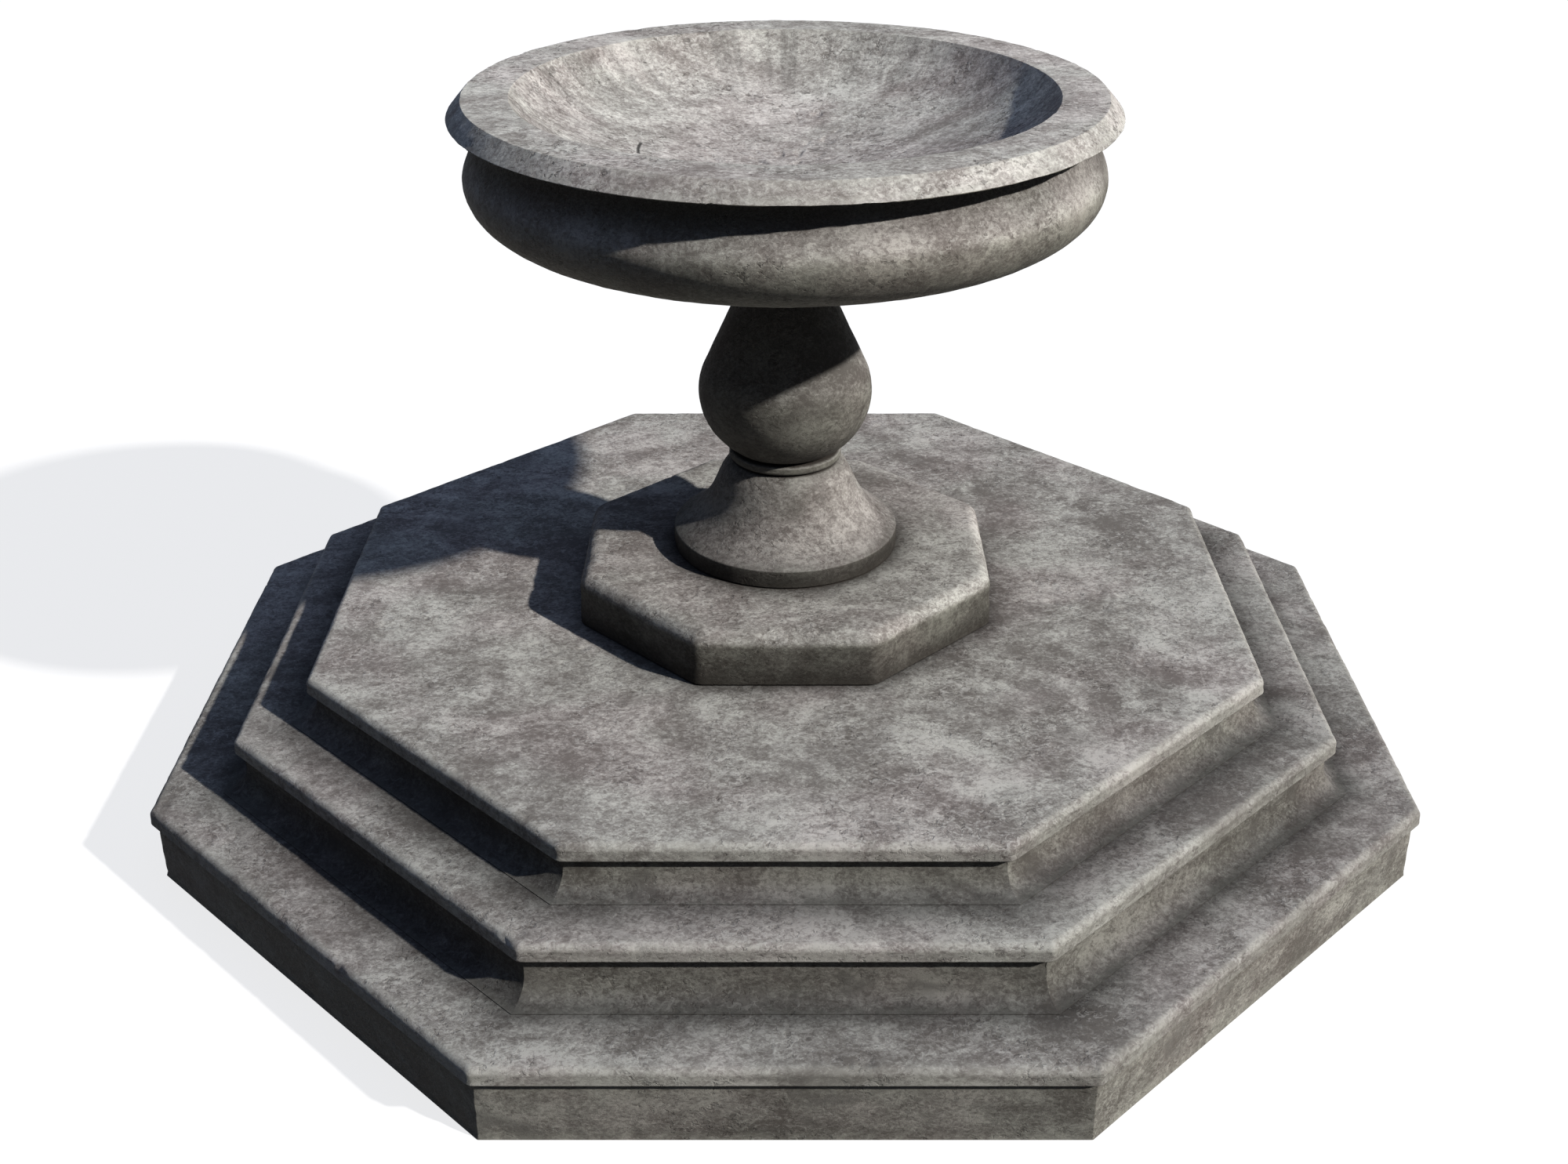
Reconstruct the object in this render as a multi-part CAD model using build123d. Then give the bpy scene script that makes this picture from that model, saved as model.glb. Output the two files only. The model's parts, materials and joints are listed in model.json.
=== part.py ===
from build123d import *
import math
import os

# Bird bath of cast stone: a basin on a turned stem, standing on a plinth and three octagonal steps.
# Millimetres, +Z up. The origin is the middle of the underside, at ground level.
# The steps are kerbs and treads around a cast core. Thin mortar beds and steel dowels join the stones.

# ---- Steps: tuples run from the lowest step up --------------------------------------------------
# An apothem is half of the width across two opposite flats.
STEPS = ("lower", "middle", "upper")
SIDES = 8
TREAD_APOTHEM = (700.0, 608.0, 529.0)
TREAD_TOP = (91.0, 159.0, 216.5)
TREAD_THICK = 20.0
TREAD_CORNER_R = 11.0            # rounding of the slab's corners in plan
NOSING_TOP_R = 9.0               # worn round on the slab's upper edge
NOSING_UNDER_R = 2.0             # arris on the slab's lower edge
KERB_APOTHEM = (693.5, 598.5, 520.0)
KERB_WIDTH = 90.0
KERB_CORNER_R = 3.0
COVE_R = 26.0                    # hollow at the foot of the two upper kerbs
COVE_NIB = 0.8                   # thickness left at the outer edge of the hollow
BED = 3.0                        # mortar between a kerb and the tread on it
SETBACK = 4.0                    # the mortar is raked back from the faces that it joins

# ---- Plinth -------------------------------------------------------------------------------------
PLINTH_APOTHEM = 236.0
PLINTH_TOP = 279.5
PLINTH_CORNER_R = 20.0
PLINTH_TOP_R = 17.0
THIN_BED = 2.0                   # mortar joints above the upper tread

# ---- Stem: bell foot, collar and pear-shaped baluster -------------------------------------------
FOOT_R = 130.5
FOOT_EDGE_TOP = 301.5
FOOT_ARRIS = 2.5
FOOT_TOP = 386.5
FOOT_NECK_R = 62.0
BELL = ((112.5, 314.5), (94.5, 332.5), (83.5, 352.0), (75.0, 371.0))
COLLAR_R = 65.5
COLLAR_TOP = 400.0
COLLAR_ROUND = 4.5
BULB_R = 99.0
BULB_ARC_R = 77.5
BULB_Z = 469.0
TAPER = math.radians(24.8)       # slope of the straight upper part, from the vertical
STEM_TOP = 614.0

# ---- Basin --------------------------------------------------------------------------------------
HEIGHT = 810.0
SEAT_R = 46.0
UNDERSIDE = ((75.0, 628.0), (130.0, 640.0), (190.0, 649.0), (255.0, 663.0))
BULGE = ((318.0, 683.0), (336.0, 700.0), (344.3, 727.0), (333.0, 755.0))
NECK = (322.0, 783.0)
RIM_R = 358.0
RIM_UNDER_Z = 789.5
RIM_TOP_R = 340.0
RIM_INNER_R = 289.5
RIM_ARRIS = 1.6
FLOOR_Z = 725.0
DISH_EDGE = (215.0, 758.8)       # where the shallow dish turns up into the round wall

# ---- Dowels -------------------------------------------------------------------------------------
DOWEL_R = 8.0
DOWEL_LENGTH = 100.0
FOOT_DOWEL_Z = 234.0             # lower ends of the three dowels on the axis
STEM_DOWEL_Z = 342.0
BASIN_DOWEL_Z = 564.0
PIN_R = 6.0
PIN_LENGTH = 92.0
PIN_Z = 164.5
PIN_CIRCLE_R = 150.0
PINS = 4

# ---- Undersides of the stones above the steps ---------------------------------------------------
PLINTH_BASE = TREAD_TOP[-1] + THIN_BED
FOOT_BASE = PLINTH_TOP + THIN_BED
COLLAR_BASE = FOOT_TOP + THIN_BED
BALUSTER_BASE = COLLAR_TOP + THIN_BED
BASIN_BASE = STEM_TOP + THIN_BED

# ---- Radii of the baluster at its two ends and where its curve meets its straight taper ---------
BULB_AXIS_R = BULB_R - BULB_ARC_R
BALUSTER_FOOT_R = BULB_AXIS_R + math.sqrt(BULB_ARC_R**2 - (BULB_Z - BALUSTER_BASE) ** 2)
TAPER_FOOT = (BULB_AXIS_R + BULB_ARC_R * math.cos(TAPER), BULB_Z + BULB_ARC_R * math.sin(TAPER))
STEM_TOP_R = TAPER_FOOT[0] - (STEM_TOP - TAPER_FOOT[1]) * math.tan(TAPER)


# ---- Shared shapes ------------------------------------------------------------------------------
def octagon_block(apothem, z0, z1, corner=0.0):
    """Upright octagonal prism with two flats square to X, its corners rounded in plan."""
    outline = RegularPolygon(apothem, SIDES, major_radius=False, rotation=180 / SIDES)
    if corner:
        outline = fillet(outline.vertices(), corner)
    return Pos(0, 0, z0) * extrude(outline, z1 - z0)


def disc(radius, z0, z1):
    """Upright cylinder on the axis between two heights."""
    return Pos(0, 0, z0) * Cylinder(radius, z1 - z0, align=(Align.CENTER, Align.CENTER, Align.MIN))


def profile(*lines):
    """Closed outline in radius and height."""
    return make_face(Curve() + list(lines))


def rounded(outline, radius, *corners):
    """Outline with the named corners rounded."""
    return fillet([outline.vertices().sort_by_distance(corner)[0] for corner in corners], radius)


def turned(outline):
    """Stone turned about the axis from its outline."""
    return revolve(Plane.XZ * outline, Axis.Z)


def dowel(z):
    """Steel dowel on the axis."""
    return disc(DOWEL_R, z, z + DOWEL_LENGTH)


def pins():
    """Short steel dowels that tie the plinth to the core through the upper tread."""
    pin = Pos(PIN_CIRCLE_R, 0, 0) * disc(PIN_R, PIN_Z, PIN_Z + PIN_LENGTH)
    return [Rot(0, 0, (number + 0.5) * 360 / PINS) * pin for number in range(PINS)]


# ---- Steps --------------------------------------------------------------------------------------
def kerb_base(step):
    """Underside of a kerb: the ground or the tread below."""
    return TREAD_TOP[step - 1] if step else 0.0


def kerb_top(step):
    """Top of a kerb and of the core inside it."""
    return TREAD_TOP[step] - TREAD_THICK - BED


def kerb_inside(step):
    """Apothem of a kerb's inner face."""
    return KERB_APOTHEM[step] - KERB_WIDTH


def well(step, solid):
    """Piece of a step with the opening that the next core, or the pins, pass through."""
    if step + 1 < len(STEPS):
        return solid - octagon_block(kerb_inside(step + 1), 0, HEIGHT)
    return solid - pins()


def core(step):
    """One lift of the cast core."""
    base = kerb_top(step - 1) if step else 0.0
    block = octagon_block(kerb_inside(step), base, kerb_top(step))
    return block - pins() if step + 1 == len(STEPS) else block


def plain_kerb(step):
    """Ring with an upright face."""
    ring = octagon_block(KERB_APOTHEM[step], kerb_base(step), kerb_top(step), KERB_CORNER_R)
    return ring - octagon_block(kerb_inside(step), kerb_base(step), kerb_top(step))


def coved_kerb(step):
    """Ring whose face sweeps out at its foot in a hollow curve that is mitred at the corners."""
    face = KERB_APOTHEM[step]
    inside = kerb_inside(step)
    base = kerb_base(step)
    nib = (face + COVE_R, base + COVE_NIB)
    spring = (face, base + COVE_NIB + COVE_R)
    section = profile(
        Polyline(spring, (face, kerb_top(step)), (inside, kerb_top(step)), (inside, base), (nib[0], base), nib),
        RadiusArc(nib, spring, COVE_R),
    )
    reach = 2 * nib[0] * math.tan(math.pi / SIDES)
    mitre = Polygon((0, 0), (2 * nib[0], -reach), (2 * nib[0], reach), align=None)
    side = extrude(Plane.XZ * section, reach, both=True) & extrude(mitre, HEIGHT)
    ring = side
    for number in range(1, SIDES):
        ring += Rot(0, 0, number * 360 / SIDES) * side
    return ring


def bed(step):
    """Mortar on top of a kerb and its core, under the tread."""
    return well(step, octagon_block(KERB_APOTHEM[step] - SETBACK, kerb_top(step), kerb_top(step) + BED))


def tread(step):
    """Slab with a rounded nosing that stands proud of the kerb."""
    top = TREAD_TOP[step]
    slab = octagon_block(TREAD_APOTHEM[step], top - TREAD_THICK, top, TREAD_CORNER_R)
    slab = fillet(slab.edges().group_by(Axis.Z)[-1], NOSING_TOP_R)
    slab = fillet(slab.edges().group_by(Axis.Z)[0], NOSING_UNDER_R)
    return well(step, slab)


# ---- Plinth -------------------------------------------------------------------------------------
def plinth():
    """Octagonal block with well-rounded upper edges and corners."""
    block = octagon_block(PLINTH_APOTHEM, PLINTH_BASE, PLINTH_TOP, PLINTH_CORNER_R)
    block = fillet(block.edges().group_by(Axis.Z)[-1], PLINTH_TOP_R)
    return block - pins() - dowel(FOOT_DOWEL_Z)


def plinth_bed():
    """Mortar between the upper tread and the plinth."""
    return octagon_block(PLINTH_APOTHEM - SETBACK, TREAD_TOP[-1], PLINTH_BASE) - pins()


# ---- Stem ---------------------------------------------------------------------------------------
def foot():
    """Bell-shaped foot on a round edge."""
    shoulder = (FOOT_R, FOOT_EDGE_TOP)
    neck = (FOOT_NECK_R, FOOT_TOP)
    outline = profile(
        Spline(shoulder, *BELL, neck),
        Polyline(neck, (0, FOOT_TOP), (0, FOOT_BASE), (FOOT_R, FOOT_BASE), shoulder),
    )
    bell = turned(rounded(outline, FOOT_ARRIS, shoulder))
    return bell - dowel(FOOT_DOWEL_Z) - dowel(STEM_DOWEL_Z)


def collar():
    """Ring between the foot and the baluster, rounded on its outside."""
    ring = disc(COLLAR_R, COLLAR_BASE, COLLAR_TOP)
    ring = fillet(ring.edges().filter_by(GeomType.CIRCLE), COLLAR_ROUND)
    return ring - dowel(STEM_DOWEL_Z)


def baluster():
    """Pear-shaped stone: one round arc below, a straight taper above."""
    low = (BALUSTER_FOOT_R, BALUSTER_BASE)
    high = (STEM_TOP_R, STEM_TOP)
    outline = profile(
        ThreePointArc(low, (BULB_R, BULB_Z), TAPER_FOOT),
        Polyline(TAPER_FOOT, high, (0, STEM_TOP), (0, BALUSTER_BASE), low),
    )
    return turned(outline) - dowel(STEM_DOWEL_Z) - dowel(BASIN_DOWEL_Z)


def round_bed(radius, z, *holes):
    """Thin mortar joint between two turned stones, raked back from the smaller one."""
    joint = disc(radius - SETBACK, z, z + THIN_BED)
    for hole in holes:
        joint -= hole
    return joint


# ---- Basin --------------------------------------------------------------------------------------
def basin():
    """Bulging bowl under a flat rim with a splayed edge, hollowed to a dished floor with a round wall."""
    seat = (SEAT_R, BASIN_BASE)
    rim_under = (RIM_R, RIM_UNDER_Z)
    rim_top = (RIM_TOP_R, HEIGHT)
    rim_inner = (RIM_INNER_R, HEIGHT)
    rise = DISH_EDGE[1] - FLOOR_Z
    dish_r = (DISH_EDGE[0] ** 2 + rise**2) / (2 * rise)
    half_way = (DISH_EDGE[0] / 2, FLOOR_Z + dish_r - math.sqrt(dish_r**2 - (DISH_EDGE[0] / 2) ** 2))
    slope = math.asin(DISH_EDGE[0] / dish_r)
    outline = profile(
        Spline(seat, *UNDERSIDE, *BULGE, NECK),
        Polyline(NECK, rim_under, rim_top, rim_inner),
        TangentArc(DISH_EDGE, rim_inner, tangent=(math.cos(slope), math.sin(slope))),
        ThreePointArc(DISH_EDGE, half_way, (0, FLOOR_Z)),
        Polyline((0, FLOOR_Z), (0, BASIN_BASE), seat),
    )
    outline = rounded(outline, RIM_ARRIS, rim_under, rim_top, rim_inner)
    return turned(outline) - dowel(BASIN_DOWEL_Z)


# ---- All pieces ---------------------------------------------------------------------------------
def pieces():
    """Every piece by name."""
    made = {}
    for step, name in enumerate(STEPS):
        made[f"{name}_core"] = core(step)
        made[f"{name}_kerb"] = coved_kerb(step) if step else plain_kerb(step)
        made[f"{name}_bed"] = bed(step)
        made[f"{name}_tread"] = tread(step)
    made["plinth_bed"] = plinth_bed()
    made["plinth"] = plinth()
    made["plinth_pins"] = Compound(pins())
    made["foot_bed"] = round_bed(FOOT_R, PLINTH_TOP, dowel(FOOT_DOWEL_Z))
    made["foot"] = foot()
    made["foot_dowel"] = dowel(FOOT_DOWEL_Z)
    made["collar_bed"] = round_bed(FOOT_NECK_R, FOOT_TOP, dowel(STEM_DOWEL_Z))
    made["collar"] = collar()
    made["baluster_bed"] = round_bed(BALUSTER_FOOT_R, COLLAR_TOP, dowel(STEM_DOWEL_Z))
    made["baluster"] = baluster()
    made["stem_dowel"] = dowel(STEM_DOWEL_Z)
    made["basin_bed"] = round_bed(STEM_TOP_R, STEM_TOP, dowel(BASIN_DOWEL_Z))
    made["basin"] = basin()
    made["basin_dowel"] = dowel(BASIN_DOWEL_Z)
    return made


os.makedirs("parts", exist_ok=True)
for node, solid in pieces().items():
    export_step(solid, f"parts/{node}.step")
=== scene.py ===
"""Looks of the stone bird bath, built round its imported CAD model. Metres, +Z up."""

import dataclasses
import itertools
import json
import math

import bmesh
import bpy
import numpy as np
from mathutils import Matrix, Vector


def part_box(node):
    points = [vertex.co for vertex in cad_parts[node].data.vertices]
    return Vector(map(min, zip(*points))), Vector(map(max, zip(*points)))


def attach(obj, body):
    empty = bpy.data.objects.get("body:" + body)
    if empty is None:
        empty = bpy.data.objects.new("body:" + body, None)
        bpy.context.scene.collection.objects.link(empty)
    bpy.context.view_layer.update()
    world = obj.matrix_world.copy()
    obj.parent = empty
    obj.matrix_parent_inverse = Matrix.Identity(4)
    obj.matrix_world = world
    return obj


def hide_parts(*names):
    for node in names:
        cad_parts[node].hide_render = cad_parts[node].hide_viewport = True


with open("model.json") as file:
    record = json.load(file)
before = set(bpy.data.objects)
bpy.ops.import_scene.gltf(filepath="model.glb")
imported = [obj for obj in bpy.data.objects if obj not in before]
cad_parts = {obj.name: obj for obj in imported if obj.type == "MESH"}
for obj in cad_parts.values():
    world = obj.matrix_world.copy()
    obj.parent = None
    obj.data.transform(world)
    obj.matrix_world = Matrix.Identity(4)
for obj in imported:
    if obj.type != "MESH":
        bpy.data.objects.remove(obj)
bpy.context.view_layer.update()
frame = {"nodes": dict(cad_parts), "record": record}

MM = 0.001
SIDES = 8
HALF_SIDE = math.tan(math.pi / SIDES)    # half a side of an octagon over its apothem
WELD = 1e-6


# ---- Camera and light ---------------------------------------------------------------------------
CAMERA_PLACE = (0.0, -2.0106, 1.2959)
CAMERA_PITCH = 28.17                     # degrees below the horizon
LENS = 43.635
SENSOR_WIDTH = 36.0
SHIFT_X = -0.0008
TO_KEY = (0.7196, -0.3956, 0.5707)       # direction towards the key light
KEY_STRENGTH = 4.6
KEY_ANGLE = 1.6                          # degrees across, which softens the shadows
KEY_COLOR = (1.0, 0.965, 0.92)
FILL_COLOR = (0.30, 0.38, 0.58)          # straight overhead
FILL_POWER = 2.5                         # how fast the fill fades towards the horizon
BACKDROP_COLOR = (1.0, 1.0, 1.0)
FLOOR_RADIUS = 30.0
FLOOR_POINTS = 64
FLOOR_GAP = 0.0005
FLOOR_COLOR = (0.25, 0.25, 0.25)
FLOOR_ROUGHNESS = 0.9
FLOOR_GLOW = 0.78                        # keeps the shadow on the floor pale


def add_camera():
    """Camera at the viewing angle of the photograph."""
    data = bpy.data.cameras.new("camera")
    data.lens = LENS
    data.sensor_width = SENSOR_WIDTH
    data.shift_x = SHIFT_X
    camera = bpy.data.objects.new("camera", data)
    camera.location = CAMERA_PLACE
    camera.rotation_euler = (math.radians(90 - CAMERA_PITCH), 0, 0)
    bpy.context.scene.collection.objects.link(camera)
    bpy.context.scene.camera = camera


def add_key_light():
    """One distant lamp, from the right and in front."""
    data = bpy.data.lights.new("key", "SUN")
    data.energy = KEY_STRENGTH
    data.angle = math.radians(KEY_ANGLE)
    data.color = KEY_COLOR
    lamp = bpy.data.objects.new("key", data)
    x, y, z = TO_KEY
    lamp.rotation_euler = (0, math.acos(z), math.atan2(y, x))
    bpy.context.scene.collection.objects.link(lamp)


def add_fill_light():
    """Cool fill from overhead. The camera sees a plain white backdrop in its place."""
    world = bpy.data.worlds.new("studio")
    world.use_nodes = True
    tree = world.node_tree
    fill = tree.nodes["Background"]
    fill.inputs["Color"].default_value = (*FILL_COLOR, 1)
    direction = tree.nodes.new("ShaderNodeTexCoord")
    parts = tree.nodes.new("ShaderNodeSeparateXYZ")
    above = tree.nodes.new("ShaderNodeClamp")
    fade = tree.nodes.new("ShaderNodeMath")
    fade.operation = "POWER"
    fade.inputs[1].default_value = FILL_POWER
    tree.links.new(direction.outputs["Generated"], parts.inputs[0])
    tree.links.new(parts.outputs["Z"], above.inputs["Value"])
    tree.links.new(above.outputs[0], fade.inputs[0])
    tree.links.new(fade.outputs[0], fill.inputs["Strength"])
    backdrop = tree.nodes.new("ShaderNodeBackground")
    backdrop.inputs["Color"].default_value = (*BACKDROP_COLOR, 1)
    seen = tree.nodes.new("ShaderNodeLightPath")
    mix = tree.nodes.new("ShaderNodeMixShader")
    tree.links.new(seen.outputs["Is Camera Ray"], mix.inputs[0])
    tree.links.new(fill.outputs[0], mix.inputs[1])
    tree.links.new(backdrop.outputs[0], mix.inputs[2])
    tree.links.new(mix.outputs[0], tree.nodes["World Output"].inputs["Surface"])
    bpy.context.scene.world = world


def add_floor():
    """Plain pale floor, which takes the object's shadow but throws no light back."""
    bpy.ops.mesh.primitive_circle_add(vertices=FLOOR_POINTS, radius=FLOOR_RADIUS, fill_type="NGON")
    floor = bpy.context.object
    floor.name = "floor"
    floor.location.z = -FLOOR_GAP
    floor.visible_diffuse = False
    floor.visible_shadow = False
    material = bpy.data.materials.new("floor")
    material.use_nodes = True
    shader = material.node_tree.nodes["Principled BSDF"]
    shader.inputs["Base Color"].default_value = (*FLOOR_COLOR, 1)
    shader.inputs["Roughness"].default_value = FLOOR_ROUGHNESS
    shader.inputs["Emission Color"].default_value = (1, 1, 1, 1)
    shader.inputs["Emission Strength"].default_value = FLOOR_GLOW
    floor.data.materials.append(material)


# ---- Smooth random fields, the same on every run ------------------------------------------------
TABLE_SIZE = 256
RANDOM_SEED = 11
SEED_SHIFT = 17.3                        # cells between the places where two seeds read the field
FIELD_GAIN = 1.6                         # brings the field to about -1 to 1
OCTAVE_FADE = 1.8                        # how much weaker each finer field is
_random = np.random.default_rng(RANDOM_SEED)
ORDER = _random.permutation(TABLE_SIZE)
SLOPES = _random.normal(size=(TABLE_SIZE, 3))
SLOPES /= np.linalg.norm(SLOPES, axis=1, keepdims=True)


def field(points, size, seed):
    """Smooth field of about -1 to 1 at the points. Its features are about size metres apart."""
    place = points / size + SEED_SHIFT * seed
    cell = np.floor(place).astype(int)
    part = place - cell
    fade = part**3 * (part * (part * 6 - 15) + 10)
    total = np.zeros(len(points))
    for corner in itertools.product((0, 1), repeat=3):
        x, y, z = ((cell + corner) % TABLE_SIZE).T
        slope = SLOPES[ORDER[(ORDER[(ORDER[x] + y) % TABLE_SIZE] + z) % TABLE_SIZE]]
        weight = np.prod(np.where(corner, fade, 1 - fade), axis=1)
        total += weight * np.sum(slope * (part - corner), axis=1)
    return FIELD_GAIN * total


def rough_field(points, size, seed, octaves=4):
    """Sum of finer and finer fields."""
    return sum(field(points, size / 2**n, seed + n) / OCTAVE_FADE**n for n in range(octaves))


def step_up(values, low, high):
    """0 below low, 1 above high and smooth between them."""
    part = np.clip((values - low) / (high - low), 0, 1)
    return part * part * (3 - 2 * part)


# ---- Sections of the CAD stones -----------------------------------------------------------------
FINE = 5.5 * MM                          # mesh spacing where the stone shows
COARSE = 60.0 * MM                       # and where it is hidden inside
STRAIGHT = 0.002                         # bends of fewer radians count as none
EDGE_WIDTH = 7.0 * MM                    # how far the wear of an edge reaches
FULL_EDGE = 1.2                          # radians of bend that count as a full edge


def reach(node):
    """How far a CAD node reaches from the axis along +X."""
    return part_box(node)[1].x


def cut_in_half(node):
    """The half of a CAD node with x > 0, cut again at y = 0, and the edges along that second cut."""
    work = bmesh.new()
    work.from_mesh(frame["nodes"][node].data)
    bmesh.ops.remove_doubles(work, verts=work.verts, dist=WELD)
    for normal, clear in (((1, 0, 0), True), ((0, 1, 0), False)):
        whole = [*work.verts, *work.edges, *work.faces]
        made = bmesh.ops.bisect_plane(
            work, geom=whole, dist=WELD, plane_co=(0, 0, 0), plane_no=normal, clear_inner=clear
        )
    return work, [item for item in made["geom_cut"] if isinstance(item, bmesh.types.BMEdge)]


def in_order(edges):
    """The vertices of the edges in order, and if they make a loop."""
    joined = {}
    for edge in edges:
        a, b = edge.verts
        joined.setdefault(a, []).append(b)
        joined.setdefault(b, []).append(a)
    ends = sorted((v for v in joined if len(joined[v]) == 1), key=lambda v: v.co.z)
    chain = [ends[0] if ends else next(iter(joined))]
    while True:
        onward = [v for v in joined[chain[-1]] if v not in chain[-2:-1] and v is not chain[0]]
        if not onward:
            return chain, not ends
        chain.append(onward[0])


def section(node):
    """Outline of a CAD node in the half-plane y = 0, x > 0, as distance and height, and if it is a loop."""
    work, edges = cut_in_half(node)
    chain, loop = in_order(edges)
    points = np.array([(v.co.x, v.co.z) for v in chain])
    work.free()
    return points, loop


def bends(points):
    """How far the outline turns at each of its points, in radians."""
    before = points - np.roll(points, 1, axis=0)
    after = np.roll(points, -1, axis=0) - points
    across = before[:, 0] * after[:, 1] - before[:, 1] * after[:, 0]
    return np.arctan2(across, np.sum(before * after, axis=1))


def stretch_points(a, b, inner):
    """Points from a to short of b: close together outside the distance inner, and far apart inside it."""
    stops = [0.0, 1.0]
    if (a[0] - inner) * (b[0] - inner) < 0:
        stops.insert(1, (inner - a[0]) / (b[0] - a[0]))
    made = []
    for start, end in itertools.pairwise(stops):
        p = a + (b - a) * start
        q = a + (b - a) * end
        spacing = FINE if max(p[0], q[0]) > inner + WELD else COARSE
        steps = max(1, math.ceil(np.linalg.norm(q - p) / spacing))
        made += [p + (q - p) * k / steps for k in range(steps)]
    return made


def spaced(points, loop, inner):
    """The outline without points in line, and with new points along its long stretches."""
    kept = np.abs(bends(points)) > STRAIGHT
    if not loop:
        kept[[0, -1]] = True
    points = points[kept]
    made = []
    for a, b in itertools.pairwise([*points, points[0]] if loop else points):
        made += stretch_points(a, b, inner)
    if not loop:
        made.append(points[-1])
    return np.array(made)


def edge_of_outline(points, loop):
    """How sharply the outline bends outwards near each of its points, in radians."""
    turn = bends(points)
    if not loop:
        turn[[0, -1]] = 0
    x, z = points.T
    area = np.sum(x * np.roll(z, -1) - z * np.roll(x, -1))
    apart = np.linalg.norm(points[:, None] - points[None], axis=2)
    return np.exp(-((apart / EDGE_WIDTH) ** 2)) @ (turn * np.sign(area))


# ---- Stone surfaces, swept from those sections --------------------------------------------------
CORNER_POINTS = 5
LEAST_CORNER = 0.2 * MM                  # radius of an octagon's corner at its sharpest
POLE_WELD = 3 * WELD


def round_ring(spacing, outer):
    """Way round a turned stone: a function from a distance to a ring of points, and the ring's edges."""
    angle = np.linspace(0, 2 * math.pi, round(2 * math.pi * outer / spacing), endpoint=False)

    def ring(distance):
        return distance * np.cos(angle), distance * np.sin(angle)

    return ring, np.zeros(len(angle))


def octagon_ring(spacing, outer, corner):
    """Way round an octagonal stone whose outermost corners are rounded with the radius corner."""
    per_side = round(2 * outer * HALF_SIDE / spacing)
    along = np.linspace(-1, 1, per_side)
    bend = np.linspace(0, 2 * math.pi / SIDES, CORNER_POINTS + 2)[1:-1]

    def ring(distance):
        radius = max(corner - (outer - distance), LEAST_CORNER)
        flat = (distance - radius) * HALF_SIDE
        x = np.concatenate([np.full(per_side, distance), distance - radius + radius * np.cos(bend)])
        y = np.concatenate([along * flat, flat + radius * np.sin(bend)])
        turns = np.arange(SIDES)[:, None] * 2 * math.pi / SIDES
        return (
            (x * np.cos(turns) - y * np.sin(turns)).ravel(),
            (x * np.sin(turns) + y * np.cos(turns)).ravel(),
        )

    from_corner = (1 - np.abs(along)) * outer * HALF_SIDE
    side = np.concatenate([np.exp(-((from_corner / EDGE_WIDTH) ** 2)), np.ones(CORNER_POINTS)])
    return ring, np.tile(side, SIDES) * 2 * math.pi / SIDES


def swept(name, outline, loop, ring):
    """Mesh of the outline carried round the axis."""
    x, y = zip(*(ring(max(distance, WELD)) for distance in outline[:, 0]))
    rows, count = len(outline), len(x[0])
    points = np.stack([np.array(x), np.array(y), np.repeat(outline[:, 1:], count, axis=1)], axis=2)
    index = np.arange(rows * count).reshape(rows, count)
    low, high = (index, np.roll(index, -1, axis=0)) if loop else (index[:-1], index[1:])
    faces = np.stack([low, np.roll(low, -1, axis=1), np.roll(high, -1, axis=1), high], axis=2)
    mesh = bpy.data.meshes.new(name)
    mesh.from_pydata(points.reshape(-1, 3), [], faces.reshape(-1, 4))
    return mesh


def closed(mesh):
    """Welds the poles on the axis and turns every face outwards."""
    work = bmesh.new()
    work.from_mesh(mesh)
    bmesh.ops.remove_doubles(work, verts=work.verts, dist=POLE_WELD)
    bmesh.ops.recalc_face_normals(work, faces=work.faces)
    work.to_mesh(mesh)
    work.free()


def read(items, name, width=1):
    """One property of all of a mesh's items as an array, with a row for each item if width is over 1."""
    values = np.empty(len(items) * width, np.float32)
    items.foreach_get(name, values)
    return (values.reshape(-1, width) if width > 1 else values).astype(float)


def store(mesh, name, values):
    """Keeps one number for each vertex."""
    mesh.attributes.new(name, "FLOAT", "POINT").data.foreach_set("value", values.astype(np.float32).ravel())


# ---- Dirt, painted shade and wear ---------------------------------------------------------------
DIRT_AND_SHADE_INSET = 6.0 * MM                    # how far in from the node's edge the middle of the dirt and painted shade is
DIRT_AND_SHADE_RISE = 4.0 * MM                     # and how far up

# Where dirt and painted shade gather: at the lower outer edge of a node, turned or not, over a
# width, which is so many times wider outwards, by an amount.
DIRT_AND_SHADE_LINES = (
    ("middle_kerb", False, 22 * MM, 1.3, 1.0),
    ("upper_kerb", False, 22 * MM, 1.9, 1.0),
    ("plinth", False, 20 * MM, 1.0, 0.8),
    ("foot", True, 22 * MM, 1.0, 1.0),
    ("collar_bed", True, 8 * MM, 1.0, 1.0),
    ("baluster_bed", True, 8 * MM, 1.0, 0.8),
)

# And painted shade on the basin's body, under the overhang of the rim.
OVERHANG_INSET = 20 * MM
OVERHANG_DROP = 46 * MM
OVERHANG_WIDTH = 16 * MM
OVERHANG_HEIGHT = 23 * MM
OVERHANG_AMOUNT = 0.62

# Size of each kind of wear in metres, and how deep it goes in millimetres.
UNEVEN_SIZE, UNEVEN_DEPTH = 90 * MM, 0.7
GRAIN_SIZE, GRAIN_DEPTH = 16 * MM, 0.5
PIT_SIZE, PIT_DEPTH = 14 * MM, 2.0
NICK_SIZE, NICK_DEPTH = 34 * MM, 1.8
DULL_SIZE, DULL_DEPTH = 60 * MM, 0.8
CLUSTER_SIZE = 130 * MM                  # of the areas that have pits

# Between which values of its field each of them sets in.
CLUSTER_START = (0.0, 0.5)
PIT_START = (0.35, 0.75)
NICK_START = (0.25, 0.9)
DULL_MIDDLE, DULL_SWING = 0.6, 0.4       # the dulling of an edge, which is everywhere

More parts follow.
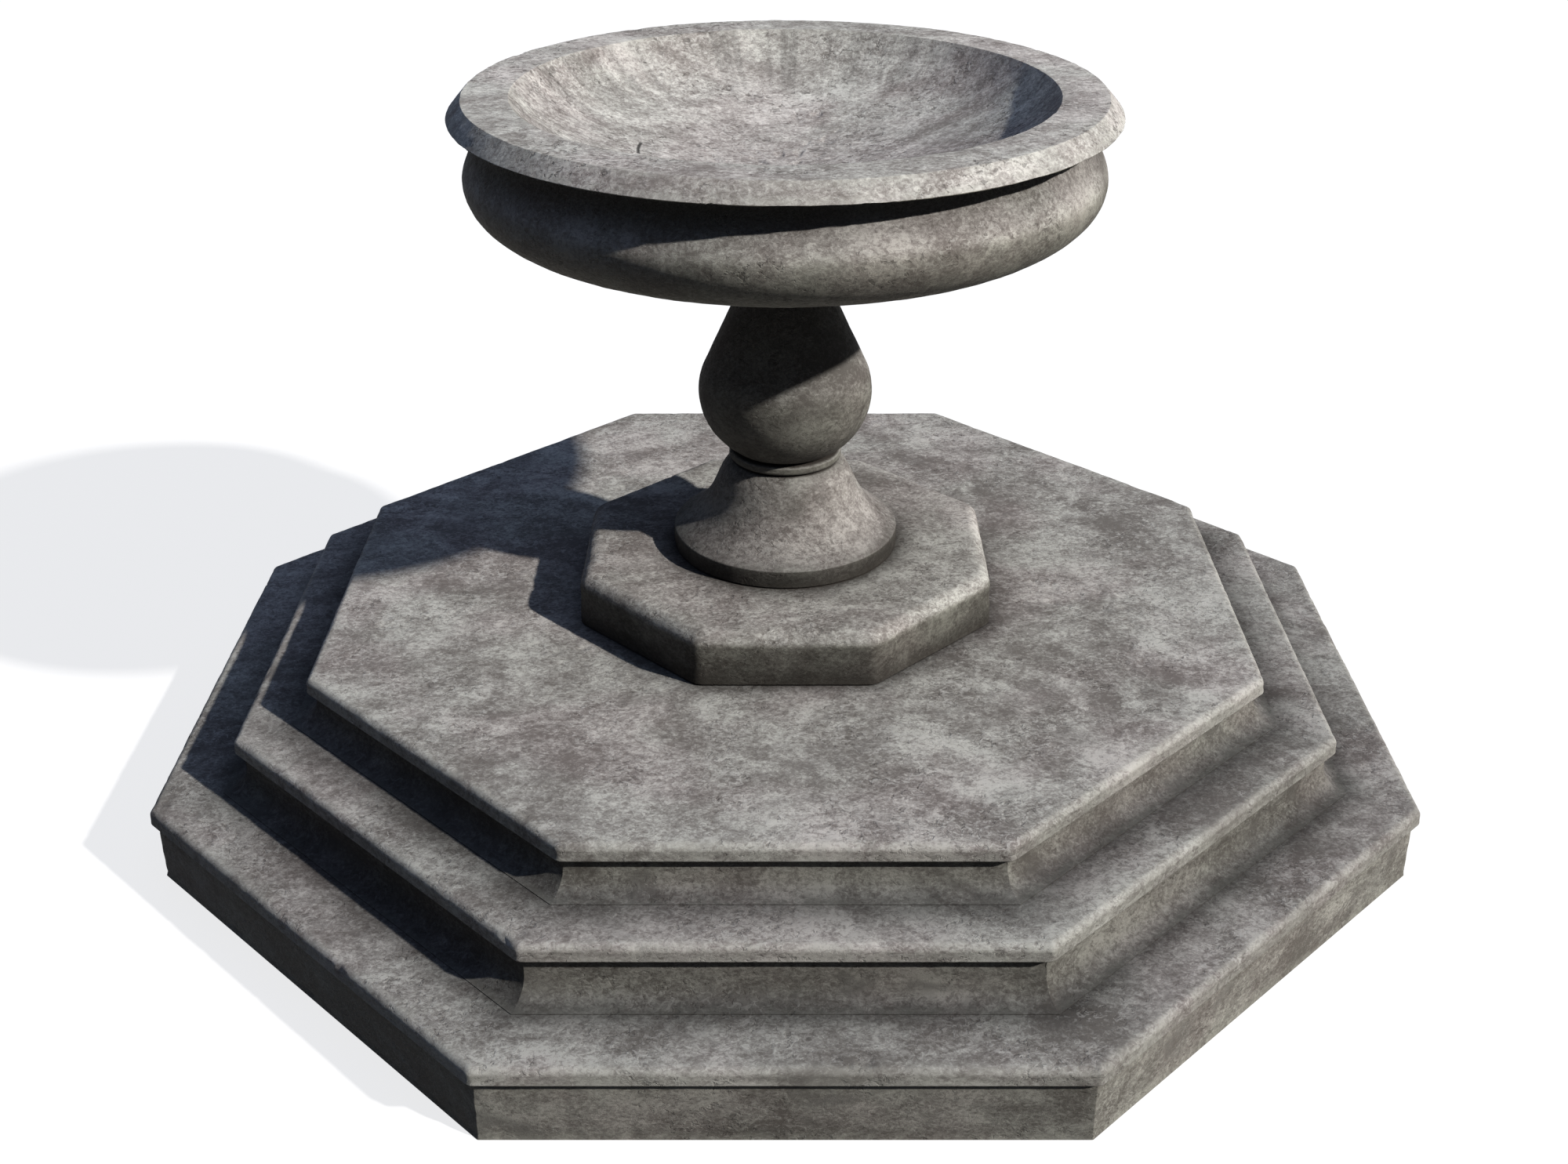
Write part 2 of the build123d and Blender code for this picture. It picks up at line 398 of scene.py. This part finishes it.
SETTLE = 5.0 * MM                        # the lowest few millimetres stay true, on their bed
JOINT_HOLD = (1.1, 1.5)                  # how the wear fades where dirt and painted shade gather, so that joints stay true


def dirt_and_painted_shade(points):
    """How much dirt and painted shade each point gets: most where a stone stands on a wider one, and painted
    shade under the basin's rim.
    """
    turns = np.arange(SIDES) * 2 * math.pi / SIDES
    octagonal = np.max(points[:, :2] @ np.stack([np.cos(turns), np.sin(turns)]), axis=1)
    turned = np.hypot(points[:, 0], points[:, 1])
    total = np.zeros(len(points))
    for node, is_turned, width, spread, amount in DIRT_AND_SHADE_LINES:
        distance = (turned if is_turned else octagonal) - reach(node) + DIRT_AND_SHADE_INSET
        distance = np.where(distance > 0, distance / spread, distance)
        height = points[:, 2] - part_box(node)[0].z - DIRT_AND_SHADE_RISE
        total += amount * np.exp(-((np.hypot(distance, height) / width) ** 2))
    # Painted shade on the basin's body under the rim.
    across = (turned - reach("basin") + OVERHANG_INSET) / OVERHANG_WIDTH
    up = (points[:, 2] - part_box("basin")[1].z + OVERHANG_DROP) / OVERHANG_HEIGHT
    total += OVERHANG_AMOUNT * np.exp(-(across**2) - up**2)
    return np.clip(total, 0, 1)


def wear_depth(points, edge, seed, wear, pitting):
    """Millimetres by which each point sinks: unevenness, grain, clusters of pits, and worn edges."""
    uneven = 0.5 + 0.5 * rough_field(points, UNEVEN_SIZE, seed)
    grain = 0.5 + 0.5 * rough_field(points, GRAIN_SIZE, seed + 5, 2)
    clusters = step_up(field(points, CLUSTER_SIZE, seed + 9), *CLUSTER_START)
    pits = step_up(field(points, PIT_SIZE, seed + 13), *PIT_START) * clusters
    nicks = edge * step_up(rough_field(points, NICK_SIZE, seed + 17), *NICK_START)
    dulled = edge * (DULL_MIDDLE + DULL_SWING * rough_field(points, DULL_SIZE, seed + 21))
    depth = UNEVEN_DEPTH * uneven + GRAIN_DEPTH * grain + pitting * PIT_DEPTH * pits
    return np.clip(depth + wear * (NICK_DEPTH * nicks + DULL_DEPTH * dulled), 0, None)


def weather(mesh, seed, wear, pitting):
    """Sinks the surface by its wear, except at the joints between stones."""
    points = read(mesh.vertices, "co", 3)
    normals = read(mesh.vertex_normals, "vector", 3)
    edge = read(mesh.attributes["edge"].data, "value")
    depth = wear_depth(points, edge, seed, wear, pitting)
    height = points[:, 2]
    settle = np.clip((height - height.min()) / SETTLE, 0, 1)
    most, fade = JOINT_HOLD
    free = np.clip(most - fade * read(mesh.attributes["dirt_and_painted_shade"].data, "value"), 0, 1)
    points -= normals * (depth * settle * free * MM)[:, None]
    mesh.vertices.foreach_set("co", points.astype(np.float32).ravel())
    mesh.update()


# ---- Whole stones -------------------------------------------------------------------------------
SMOOTH_ANGLE = math.radians(50)          # sharper edges than this are drawn sharp
LEAST_STEP = 1e-9                        # stands in for a step of no length


def stone_mesh(node, corner, inner):
    """Mesh of a CAD node's stone, as cut new, which keeps how sharp the edge is at each vertex."""
    outline, loop = section(node)
    outer = outline[:, 0].max()
    outline = spaced(outline, loop, inner)
    if corner is None:
        ring, around = round_ring(FINE, outer)
    else:
        ring, around = octagon_ring(FINE, outer, corner)
    mesh = swept(f"dressed_{node}", outline, loop, ring)
    run, rise = np.gradient(outline, axis=0).T
    upright = np.abs(rise) / (np.hypot(run, rise) + LEAST_STEP)
    bend = edge_of_outline(outline, loop)[:, None] + upright[:, None] * around[None]
    store(mesh, "edge", np.clip(bend / FULL_EDGE, 0, 1))
    closed(mesh)
    return mesh


def dressed(node, slot, seed, corner=None, inner=0.0, wear=1.0, pitting=1.0):
    """Weathered stone that stands for a CAD node: octagonal if it has a corner radius, or turned.

    Its mesh is fine only outside the distance inner from the axis.
    """
    mesh = stone_mesh(node, corner, inner)
    store(mesh, "dirt_and_painted_shade", dirt_and_painted_shade(read(mesh.vertices, "co", 3)))
    weather(mesh, seed, wear, pitting)
    mesh.polygons.foreach_set("use_smooth", np.ones(len(mesh.polygons), bool))
    mesh.set_sharp_from_angle(angle=SMOOTH_ANGLE)
    mesh.materials.append(bpy.data.materials[slot])
    piece = bpy.data.objects.new(f"dressed_{node}", mesh)
    bpy.context.scene.collection.objects.link(piece)
    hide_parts(node)
    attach(piece, "root")


# ---- Materials ----------------------------------------------------------------------------------
MIX_INPUTS = (0, 6, 7)                   # a colour mix's factor and its two colours
MIX_OUTPUT = 2
NO_TINT = (1, 1, 1)


class Shader:
    """Node tree of one material, with short ways to add nodes."""

    def __init__(self, name):
        self.material = bpy.data.materials.new(name)
        self.material.use_nodes = True
        self.tree = self.material.node_tree
        self.surface = self.tree.nodes["Principled BSDF"]

    def add(self, kind, inputs, output=0, **settings):
        """Adds a node, sets its inputs by name or number, and gives one of its outputs."""
        node = self.tree.nodes.new("ShaderNode" + kind)
        for name, value in settings.items():
            setattr(node, name, value)
        for name, value in inputs.items():
            self.set(node.inputs[name], value)
        return node.outputs[output]

    def set(self, socket, value):
        """Links a socket to an output, or gives it a constant."""
        if isinstance(value, bpy.types.NodeSocket):
            self.tree.links.new(value, socket)
        else:
            socket.default_value = value

    def place(self, stretch=(1, 1, 1), shift=(0, 0, 0)):
        """Object coordinates, stretched and shifted."""
        where = self.add("TexCoord", {}, "Object")
        return self.add("Mapping", {"Vector": where, "Location": shift, "Scale": stretch})

    def noise(self, where, size, detail, roughness, twist=0.0):
        """Noise whose features are about size metres across."""
        inputs = {"Scale": 1 / size, "Detail": detail, "Roughness": roughness, "Distortion": twist}
        return self.add("TexNoise", {"Vector": where, **inputs})

    def math(self, operation, a, b=0.0, c=0.0):
        """One step of arithmetic."""
        return self.add("Math", {0: a, 1: b, 2: c}, operation=operation)

    def vector(self, operation, a, b=(0, 0, 0)):
        """One step of arithmetic on vectors."""
        return self.add("VectorMath", {0: a, 1: b}, operation=operation)

    def length(self, vector):
        """The length of a vector."""
        return self.add("VectorMath", {0: vector}, "Value", operation="LENGTH")

    def part(self, axis, vector):
        """The X, Y or Z of a vector."""
        return self.add("SeparateXYZ", {"Vector": vector}, axis)

    def times(self, first, *others):
        """The product of all the values."""
        for value in others:
            first = self.math("MULTIPLY", first, value)
        return first

    def less(self, amount, value):
        """1 less the amount times the value."""
        return self.math("MULTIPLY_ADD", value, -amount, 1.0)

    def ramp(self, value, low, high):
        """0 at low, 1 at high and smooth between them."""
        inputs = {"Value": value, "From Min": low, "From Max": high}
        return self.add("MapRange", inputs, interpolation_type="SMOOTHSTEP")

    def between(self, amount, low, high=1.0):
        """From low to high as the amount goes from 0 to 1."""
        return self.add("MapRange", {"Value": amount, "To Min": low, "To Max": high})

    def total(self, *parts):
        """0.5 plus each noise's distance from its middle times its gain."""
        level = 0.5 - sum(0.5 * gain for _, gain in parts)
        for value, gain in parts:
            level = self.math("MULTIPLY_ADD", value, gain, level)
        return level

    def stored(self, name):
        """A number that the mesh keeps for each vertex."""
        return self.add("Attribute", {}, "Fac", attribute_name=name)

    def openness(self, distance):
        """1 in the open, and less where other surfaces are nearer than the distance."""
        return self.add("AmbientOcclusion", {"Distance": distance}, "AO", samples=SHELTER_SAMPLES)

    def stops(self, value, stops):
        """Colour between the stops of a ramp."""
        colour = self.add("ValToRGB", {"Fac": value}, "Color")
        ramp = colour.node.color_ramp
        while len(ramp.elements) < len(stops):
            ramp.elements.new(0.5)
        for element, (position, shade) in zip(ramp.elements, stops):
            element.position = position
            element.color = (*shade, 1)
        return colour

    def mix(self, amount, a, b, blend="MIX"):
        """Mix of two colours."""
        colours = [(*c, 1) if isinstance(c, tuple) else c for c in (a, b)]
        inputs = dict(zip(MIX_INPUTS, (amount, *colours)))
        return self.add("Mix", inputs, MIX_OUTPUT, data_type="RGBA", blend_type=blend)

    def tinted(self, colour, tint):
        """A colour times a tint."""
        return self.mix(1.0, colour, tint, "MULTIPLY")

    def relief(self, height, strength, distance):
        """Gives the surface a bump."""
        bump = self.add("Bump", {"Height": height, "Strength": strength, "Distance": distance})
        self.set(self.surface.inputs["Normal"], bump)


# Noises of the stones: size in metres, detail, roughness and distortion.
CLOUDS = (0.15, 9.0, 0.66, 1.2)
PATCHES = (0.030, 9.0, 0.76, 1.0)
GRAIN = (0.0045, 5.0, 0.80, 0.6)
SCALES = (0.11, 9.0, 0.72, 0.8)
FLAKES = (0.032, 9.0, 0.76, 1.0)
HUES = (0.16, 3.0, 0.5, 0.2)
STAINS = (0.085, 6.0, 0.6, 1.2)
CLUSTERS = (0.07, 4.0, 0.6, 0.4)
FLECKS = (0.009, 4.0, 0.62, 1.5)
PITS = (0.008, 3.0, 0.6, 0.5)
LINES = (0.09, 6.0, 0.7)

# Between which values of its noise each of them sets in.
SCALE_EDGE = (0.47, 0.54)
HUE_EDGE = (0.4, 0.6)
STAIN_EDGE = (0.52, 0.68)
CLUSTER_EDGE = (0.44, 0.58)
FLECK_EDGE = (0.55, 0.61)
RUB_EDGE = (0.38, 0.58)
PATCHY_EDGE = (0.38, 0.60)
PIT_EDGE = (0.43, 0.36)
LINE_EDGE = (0.44, 0.60)

# How strongly they show. What differs from stone to stone is in Look.
PATCH_GAIN = 1.5
GRAIN_GAIN = 3.2
SCALE_GAIN = 0.17
FLAKE_GAIN = 0.16
FLECK_GAIN = 0.5
DIRT_AND_SHADE_GAIN = 0.72
DIRT_AND_SHADE_LEAST = 0.75                      # the dirt and painted shade where they are thinnest

# Stops of the stones' main colour ramp, from the darkest stain to the palest fleck.
STONE_STOPS = (
    (0.00, (0.162, 0.148, 0.139)),
    (0.30, (0.235, 0.221, 0.210)),
    (0.52, (0.305, 0.292, 0.279)),
    (0.75, (0.388, 0.378, 0.360)),
    (1.00, (0.520, 0.512, 0.488)),
)
OLIVE = (0.99, 1.0, 0.965)               # tints, of which one place has more of one or the other
PINK = (1.02, 0.985, 0.97)
LICHEN = (1.02, 1.01, 0.88)              # tint of the upright and downward faces
FLECK = (0.54, 0.53, 0.50)
STAIN = (0.205, 0.195, 0.183)
GRIME_AND_SHADE = (0.035, 0.029, 0.024)
WORN = (0.37, 0.37, 0.33)

STRETCH = (0.85, 1.0, 1.25)              # how the stones' noises are squeezed along each axis
SEED_STEP = (1.7, 0.9, 2.3)              # and how far a seed moves them
LOW_DOWN = (0.04, 0.21)                  # heights between which the stone turns from darker, low down, to its full tone
LOW_TONE = 0.82
LOOKS_DOWN = (-0.5, 0.0)                 # Z of the normal between which a face stops looking down
SHELTER_POWER = 0.85                     # how strongly sheltered stone is darkened with painted shade
SHELTER_REACH = 0.30
SHELTER_SAMPLES = 8
CORNER_REACH = 0.05                      # how near the other wall of a corner with grime and painted shade is
CORNER_EDGE = (0.95, 0.40)               # its openness between which the grime and painted shade set in
GRAIN_IN_CORNER = 0.3

ROUGHNESS, ROUGHNESS_GRAIN = 0.72, 0.25
SPECULAR = 0.2
GRAIN_RELIEF, PATCH_RELIEF, PIT_RELIEF = 0.6, 1.2, 0.8
BUMP = (0.5, 0.0015)                     # strength and distance

STREAKS_START = (0.17, 0.25)             # distances from the axis between which the bowl's streaks set in
STREAKS_END = (0.292, 0.286)
STREAKS_FACE = (0.0, 0.2)                # Z of the normal between which they set in
FLAW_BEND = 0.122                        # radius of the crease in the bowl's floor
FLAW_HALF = 0.025                        # half its length
FLAW_CENTRE = (-0.036, 0.0115, 0)        # centre of its curve
FLAW_ENDS = (FLAW_HALF, 0.7 * FLAW_HALF)
FLAW_SIDE = (-0.5 * FLAW_BEND, -0.6 * FLAW_BEND)
CREASE_EDGE = (0.0026, 0.0008)
FLAKE_STEP = (0.0, 0.001)
FLAKE_FADE = (0.030, 0.010)
STREAK_DARK = 0.28                       # how much darker each mark is
# The crease's darkness is partly painted shade of its edge.
CREASE_DARK = 0.85
FLAKE_DARK = 0.2
LEVEL = (1, 1, 0)                        # keeps a vector's X and Y


@dataclasses.dataclass
class Look:
    """What differs from stone to stone."""

    seed: int
    side: float                          # painted shade of upright faces
    under: float = None                  # and of faces that look down, if it isn't the same
    tone: float = 1.0                    # of the whole stone
    painted_shade_fade: tuple = (0.0, 0.5)             # Z of the normal between which a face's painted shade fades out
    cloudy: float = 2.8                  # strength of the widest mottling
    stained: float = 0.3
    worn: float = 0.5                    # paleness of the edges
    corner_grime_and_shade: float = 0.85                  # grime and painted shade of the tightest corners
    pitted: float = 0.3                  # darkness of the pits
    key_side_paint: float = 0.0                  # painted light and shade: how much paler the faces towards the key light are, and darker those away from it


class Stone(Shader):
    """Weathered cast stone: mottled greys with pale flecks, dark stains and worn edges, grime and painted
    shade in its corners, and painted light and shade by how its faces look.
    """

    def __init__(self, name, look):
        super().__init__(name)
        self.look = look
        self.where = self.place(STRETCH, tuple(step * look.seed for step in SEED_STEP))
        self.patches = self.noise(self.where, *PATCHES)
        self.grain = self.noise(self.where, *GRAIN)
        self.clusters = self.ramp(self.noise(self.where, *CLUSTERS), *CLUSTER_EDGE)
        pits = self.ramp(self.noise(self.where, *PITS), *PIT_EDGE)
        self.pits = self.times(pits, self.clusters)
        self.normal = self.add("NewGeometry", {}, "Normal")
        self.facing_painted_shade = self.painted_shade_by_facing()

    def painted_shade_by_facing(self):
        """Painted shade by how a face looks: 1 on the faces that look up, and the look's darker tones on the
        others.
        """
        look = self.look
        facing = self.part("Z", self.normal)
        under = look.side if look.under is None else look.under
        # Painted shade: upright and downward faces are darker.
        below = self.between(self.ramp(facing, *LOOKS_DOWN), under, look.side)
        return self.between(self.ramp(facing, *look.painted_shade_fade), below)

    def mottled(self):
        """The stone's own colour, from clouds down to grain, drifting between two tints."""
        clouds = self.noise(self.where, *CLOUDS)
        scales = self.ramp(self.noise(self.where, *SCALES), *SCALE_EDGE)
        flakes = self.ramp(self.noise(self.where, *FLAKES), *SCALE_EDGE)
        level = self.total(
            (clouds, self.look.cloudy),
            (self.patches, PATCH_GAIN),
            (self.grain, GRAIN_GAIN),
            (scales, SCALE_GAIN),
            (flakes, FLAKE_GAIN),
        )
        hue = self.ramp(self.noise(self.where, *HUES), *HUE_EDGE)
        return self.tinted(self.stops(level, STONE_STOPS), self.mix(hue, OLIVE, PINK))

    def marked(self, colour):
        """Adds dark stains, pale flecks, worn edges and the lichen tint of the faces that don't look up."""
        stains = self.ramp(self.noise(self.where, *STAINS), *STAIN_EDGE)
        colour = self.mix(self.times(stains, self.look.stained), colour, STAIN)
        flecks = self.ramp(self.noise(self.where, *FLECKS), *FLECK_EDGE)
        colour = self.mix(self.times(flecks, self.clusters, FLECK_GAIN), colour, FLECK)
        rub = self.times(self.stored("edge"), self.ramp(self.patches, *RUB_EDGE))
        colour = self.mix(self.times(rub, self.look.worn), colour, WORN)
        return self.tinted(colour, self.mix(self.facing_painted_shade, LICHEN, NO_TINT))

    def tone(self):
        """How light the stone is painted: painted shade by how it faces and by shelter, painted light and
        shade by the key's side, darker towards the bottom, and dirt and painted shade at the joints.
        """
        look = self.look
        # Painted shade where other surfaces shelter the stone.
        shade = self.times(self.facing_painted_shade, self.math("POWER", self.openness(SHELTER_REACH), SHELTER_POWER))
        height = self.part("Z", self.place())
        low_darkened = self.between(self.ramp(height, *LOW_DOWN), LOW_TONE * look.tone, look.tone)
        # Painted light and shade: faces towards the key light paler, those away from it darker.
        painted_key_side_tone = self.math("MULTIPLY_ADD", self.part("X", self.normal), look.key_side_paint, 1.0)
        # Dirt and painted shade at the joints, broken up in patches.
        patchy_dirt_and_shade = self.between(self.ramp(self.patches, *PATCHY_EDGE), DIRT_AND_SHADE_LEAST)
        dirt_and_shade = self.less(DIRT_AND_SHADE_GAIN, self.times(self.stored("dirt_and_painted_shade"), patchy_dirt_and_shade))
        return self.times(shade, low_darkened, painted_key_side_tone, dirt_and_shade)

    def grimy_and_shaded(self, colour):
        """Adds the grime and painted shade of tight corners, and the grime of pits."""
        # Grime and painted shade in tight corners.
        near = self.math("MULTIPLY_ADD", self.grain, GRAIN_IN_CORNER, self.openness(CORNER_REACH))
        colour = self.mix(self.times(self.ramp(near, *CORNER_EDGE), self.look.corner_grime_and_shade), colour, GRIME_AND_SHADE)
        return self.mix(self.times(self.pits, self.look.pitted), colour, GRIME_AND_SHADE)

    def finish(self):
        """Sets the surface from all of these."""
        shade = self.tone()
        grey = self.add("CombineColor", {"Red": shade, "Green": shade, "Blue": shade})
        colour = self.tinted(self.marked(self.mottled()), grey)
        self.set(self.surface.inputs["Base Color"], self.grimy_and_shaded(colour))
        roughness = self.math("MULTIPLY_ADD", self.grain, ROUGHNESS_GRAIN, ROUGHNESS)
        self.set(self.surface.inputs["Roughness"], roughness)
        self.surface.inputs["Specular IOR Level"].default_value = SPECULAR
        patches = self.times(self.patches, PATCH_RELIEF)
        height = self.math("MULTIPLY_ADD", self.grain, GRAIN_RELIEF, patches)
        self.relief(self.math("MULTIPLY_ADD", self.pits, -PIT_RELIEF, height), *BUMP)


class BowlStone(Stone):
    """Stone with the marks of the bowl's inside."""

    def tone(self):
        """How light the stone is, with those marks."""
        crease, flake = self.flaw()
        marks = ((STREAK_DARK, self.streaks()), (CREASE_DARK, crease), (FLAKE_DARK, flake))
        return self.times(super().tone(), *(self.less(amount, mark) for amount, mark in marks))

    def streaks(self):
        """Marks of running water on the wall of the bowl: lines that go out from the axis."""
        place = self.vector("MULTIPLY", self.place(), LEVEL)
        shift = (self.look.seed, self.look.seed, 0)
        around = self.vector("ADD", self.vector("NORMALIZE", place), shift)
        lines = self.ramp(self.noise(around, *LINES), *LINE_EDGE)
        radius = self.length(place)
        facing = self.ramp(self.part("Z", self.normal), *STREAKS_FACE)
        return self.times(lines, self.ramp(radius, *STREAKS_START), self.ramp(radius, *STREAKS_END), facing)

    def flaw(self):
        """A short curved crease in the bowl's floor, its dark line partly a crack's own colour and partly
        painted shade of its edge, and the smooth flake beside it.
        """
        flat = self.vector("MULTIPLY", self.vector("SUBTRACT", self.place(), FLAW_CENTRE), LEVEL)
        inwards = self.math("SUBTRACT", FLAW_BEND, self.length(flat))
        along = self.math("ABSOLUTE", self.part("Y", flat))
        here = self.times(self.ramp(along, *FLAW_ENDS), self.ramp(self.part("X", flat), *FLAW_SIDE))
        crease = self.ramp(self.math("ABSOLUTE", inwards), *CREASE_EDGE)
        flake = self.times(self.ramp(inwards, *FLAKE_STEP), self.ramp(inwards, *FLAKE_FADE))
        return self.times(crease, here), self.times(flake, here)


# The material of each stone slot.
STONES = (
    ("basin_stone", BowlStone, Look(6, side=0.5, under=0.39, tone=1.31, cloudy=1.8, stained=0.2, pitted=0.5)),
    ("stem_stone", Stone, Look(2, side=0.56, under=0.5, tone=0.74, key_side_paint=0.2)),
    ("plinth_stone", Stone, Look(3, side=0.44, worn=0.15, key_side_paint=0.3)),
    ("tread_stone", Stone, Look(4, side=0.9, corner_grime_and_shade=0.15)),
    ("kerb_stone", Stone, Look(4, side=0.66, painted_shade_fade=(0.5, 0.95), stained=0.7, corner_grime_and_shade=0.15, key_side_paint=0.35)),
)

# The other slots: colour, roughness, size of the grain in metres, and if it is metal.
PLAIN = (
    ("core_fill", (0.40, 0.39, 0.37), 0.8, 0.01, 0.0),
    ("mortar", (0.10, 0.09, 0.078), 0.85, 0.004, 0.0),
    ("dowel_steel", (0.60, 0.60, 0.60), 0.3, 0.003, 1.0),
)
PLAIN_NOISE = (6.0, 0.7)                 # detail and roughness
PLAIN_EDGE = (0.35, 0.65)
PLAIN_DARK = 0.6                         # the darker grains' part of the colour
PLAIN_ROUGHNESS_GRAIN = 0.2
PLAIN_BUMP = (0.4, 0.001)                # strength and distance


def plain(name, colour, roughness, size, metal):
    """Mortar, concrete or steel: one colour, grained and slightly uneven."""
    s = Shader(name)
    grain = s.noise(s.place(), size, *PLAIN_NOISE)
    dark = tuple(PLAIN_DARK * c for c in colour)
    s.set(s.surface.inputs["Base Color"], s.mix(s.ramp(grain, *PLAIN_EDGE), dark, colour))
    s.set(s.surface.inputs["Roughness"], s.math("MULTIPLY_ADD", grain, PLAIN_ROUGHNESS_GRAIN, roughness))
    s.surface.inputs["Metallic"].default_value = metal
    s.relief(grain, *PLAIN_BUMP)


def make_materials():
    """One material for each slot of the record, in place of the flat ones that came with the frame."""
    for material in list(bpy.data.materials):
        bpy.data.materials.remove(material)
    for name, kind, look in STONES:
        kind(name, look).finish()
    for finish in PLAIN:
        plain(*finish)


def paint_cad_nodes():
    """The CAD nodes that stay shown take the material of their slot."""
    for part in frame["record"]["subparts"]:
        node = frame["nodes"][part["node"]]
        node.data.materials.clear()
        node.data.materials.append(bpy.data.materials[part["material_slot"]])


# ---- The stones ---------------------------------------------------------------------------------
STEPS = ("lower", "middle", "upper")
TREAD_CORNER = 11 * MM
KERB_CORNERS = (3 * MM, 0.4 * MM, 0.4 * MM)
PLINTH_CORNER = 20 * MM
KERB_DEPTH = 38 * MM                     # how far in from its outermost face a kerb has its fine mesh
OVERLAP = 8 * MM                         # and how far in under the stone above the others have it


def dress_steps():
    """Kerbs and treads. Each one is fine only where it shows."""
    above = [*(f"{step}_kerb" for step in STEPS[1:]), "plinth"]
    for number, step in enumerate(STEPS):
        kerb, tread = f"{step}_kerb", f"{step}_tread"
        dressed(kerb, "kerb_stone", 31 + number, KERB_CORNERS[number], reach(kerb) - KERB_DEPTH, pitting=0.5)
        dressed(tread, "tread_stone", 41 + number, TREAD_CORNER, reach(above[number]) - OVERLAP, wear=0.4)


def dress_pedestal():
    """Plinth, foot, collar, baluster and basin."""
    dressed("plinth", "plinth_stone", 51, PLINTH_CORNER, reach("foot") - OVERLAP)
    dressed("foot", "stem_stone", 52, wear=0.6)
    dressed("collar", "stem_stone", 53, wear=0.5, pitting=0.3)
    dressed("baluster", "stem_stone", 54, inner=20 * MM, wear=0.5)
    dressed("basin", "basin_stone", 55, inner=10 * MM, wear=0.5, pitting=1.5)


make_materials()
add_camera()
add_key_light()
add_fill_light()
add_floor()
paint_cad_nodes()
dress_steps()
dress_pedestal()
bpy.context.scene.view_settings.view_transform = "Standard"
